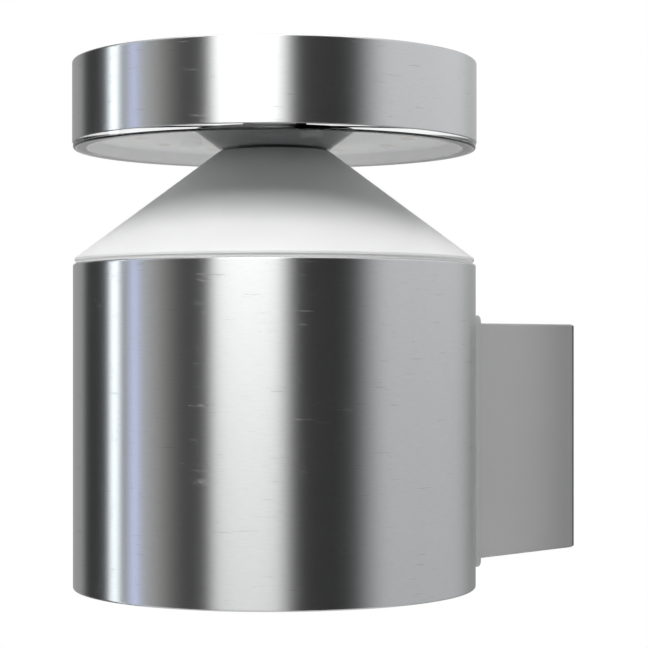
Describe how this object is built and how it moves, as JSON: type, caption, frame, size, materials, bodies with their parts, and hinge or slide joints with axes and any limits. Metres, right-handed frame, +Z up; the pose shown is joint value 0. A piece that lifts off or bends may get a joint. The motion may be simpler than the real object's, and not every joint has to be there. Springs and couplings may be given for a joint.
{
  "type": "tube wall light",
  "caption": "Round steel body on a grey wall box, closed by a white cone, with a flat round lamp head above that shines down onto the cone.",
  "frame": {"origin": "centre of the wall plate's two slots, on the wall face", "axes": "+Z up, +Y into the wall, -Y into the room, +X to the right when facing the wall"},
  "size_m": [0.1004, 0.1342, 0.13],
  "materials": {
    "brushed_steel": "brushed round the tube",
    "plated_steel": "bright zinc plate",
    "zinc_sheet": "satin zinc plate",
    "cast_aluminium": "satin, as cast",
    "white_board": "white solder mask",
    "phosphor": "glossy phosphor",
    "white_plastic": "satin",
    "white_satin": "white satin",
    "clear_lens": "clear and polished",
    "grey_rubber": "matt",
    "black_rubber": "matt",
    "light_seal": "matt light grey",
    "green_board": "green solder mask",
    "winding_tape": "amber tape",
    "capacitor_sleeve": "shrunk sleeve",
    "grey_paint": "fine satin grey powder paint",
    "ivory_plastic": "satin",
    "brass": "satin",
    "brown_lead": "satin sleeve",
    "blue_lead": "satin sleeve",
    "earth_lead": "satin sleeve, green and yellow",
    "red_lead": "satin sleeve",
    "black_lead": "satin sleeve"
  },
  "bodies": {
    "wall_plate": {"mounting_plate": "zinc_sheet", "entry_grommet": "black_rubber", "plate_earth_screw": "brass", "plate_earth_washer": "plated_steel"},
    "lamp": {"cap_shell": "brushed_steel", "cap_studs": "plated_steel", "cap_nuts": "plated_steel", "heat_sink": "cast_aluminium", "led_board": "white_board", "led_chips": "phosphor", "led_connector": "white_plastic", "led_board_screws": "plated_steel", "light_tray": "white_satin", "lens": "clear_lens", "lens_seal": "grey_rubber", "hub_seal": "grey_rubber", "neck_seal": "black_rubber", "reflector_cone": "white_satin", "cone_seal": "light_seal", "stem_tube": "plated_steel", "spacer_sleeve": "cast_aluminium", "stem_washer": "plated_steel", "stem_nut": "plated_steel", "body_shell": "brushed_steel", "chassis": "zinc_sheet", "foot_nut": "plated_steel", "bottom_screw": "plated_steel", "bottom_seal": "black_rubber", "driver_case": "white_plastic", "driver_lid": "white_plastic", "driver_board": "green_board", "driver_transformer": "winding_tape", "driver_capacitors": "capacitor_sleeve", "driver_connector": "white_plastic", "driver_screws": "plated_steel", "backing_bar": "cast_aluminium", "saddle_collar": "grey_paint", "wall_box": "grey_paint", "box_screws": "plated_steel", "box_screw_washers": "grey_rubber", "lead_grommet": "black_rubber", "terminal_block": "ivory_plastic", "terminal_clamps": "brass", "terminal_screws": "plated_steel", "terminal_block_screws": "plated_steel", "lead_live": "brown_lead", "lead_neutral": "blue_lead", "lead_earth": "earth_lead", "earth_lug": "plated_steel", "earth_lug_screw": "plated_steel", "led_lead_plus": "red_lead", "led_lead_minus": "black_lead", "wall_seal": "grey_rubber"},
    "set_screw_left": {"set_screw_left": "plated_steel"},
    "set_screw_right": {"set_screw_right": "plated_steel"}
  },
  "joints": [
    {"name": "lamp_slide_off", "type": "slide", "parent": "wall_plate", "child": "lamp", "axis": [0, -1, 0], "range_m": [0, 0.04]},
    {"name": "set_screw_left_travel", "type": "slide", "parent": "lamp", "child": "set_screw_left", "axis": [0, 0, -1], "range_m": [0, 0.003]},
    {"name": "set_screw_right_travel", "type": "slide", "parent": "lamp", "child": "set_screw_right", "axis": [0, 0, -1], "range_m": [0, 0.003]}
  ]
}
